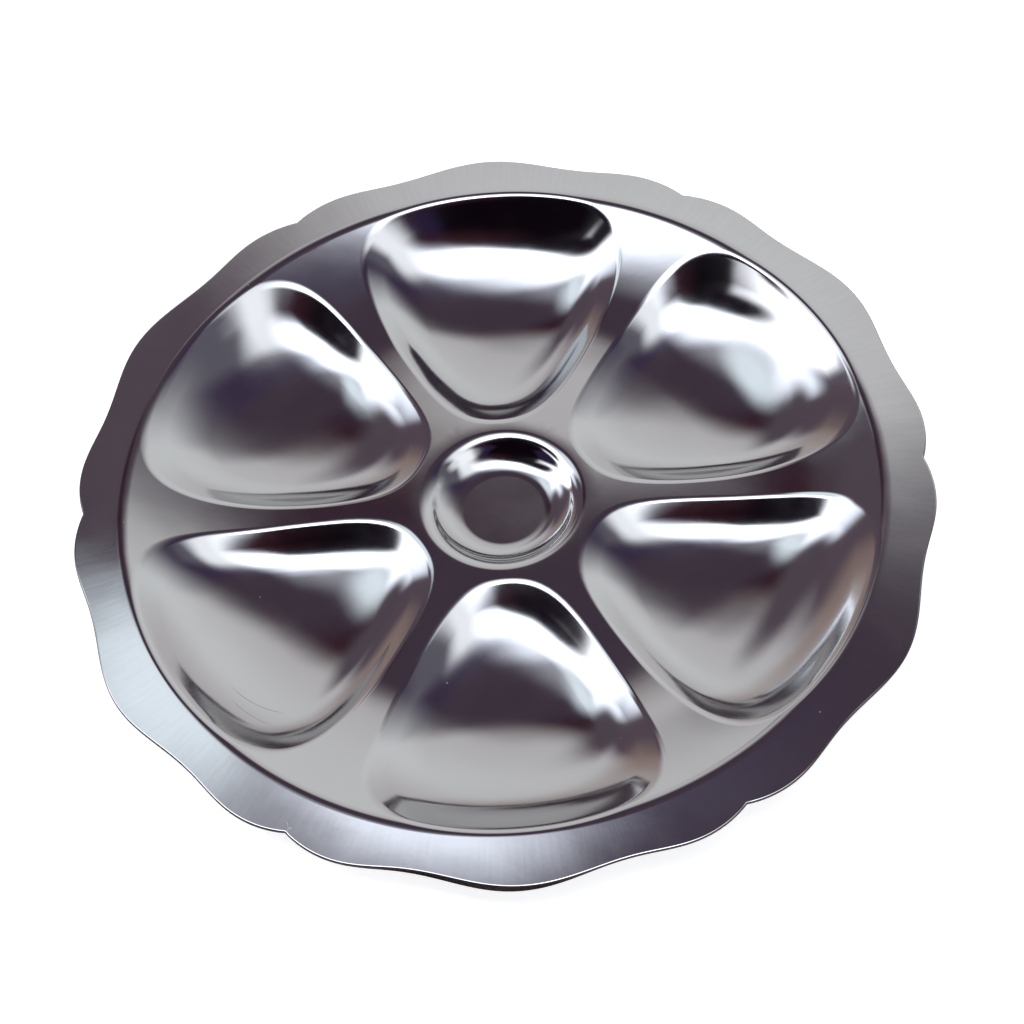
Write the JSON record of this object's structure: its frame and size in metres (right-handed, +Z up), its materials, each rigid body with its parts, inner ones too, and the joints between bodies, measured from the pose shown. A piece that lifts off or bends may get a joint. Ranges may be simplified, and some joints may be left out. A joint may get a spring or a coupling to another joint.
{
  "type": "oyster plate",
  "caption": "Round pressed steel serving plate with fan-shaped oyster wells round a small round dish for sauce or lemon, and a scalloped rim.",
  "frame": {"origin": "centre of the plate, on the surface on which its wells rest", "axes": "+Z up through the middle of the round dish; a well points to -Y, which is the side nearest the viewer in the picture, and a notch of the rim points to +X"},
  "size_m": [0.2468, 0.251, 0.0181],
  "materials": {
    "sheet": "polished, with fine brushing on the rim"
  },
  "bodies": {
    "root": {"plate": "sheet"}
  },
  "joints": []
}
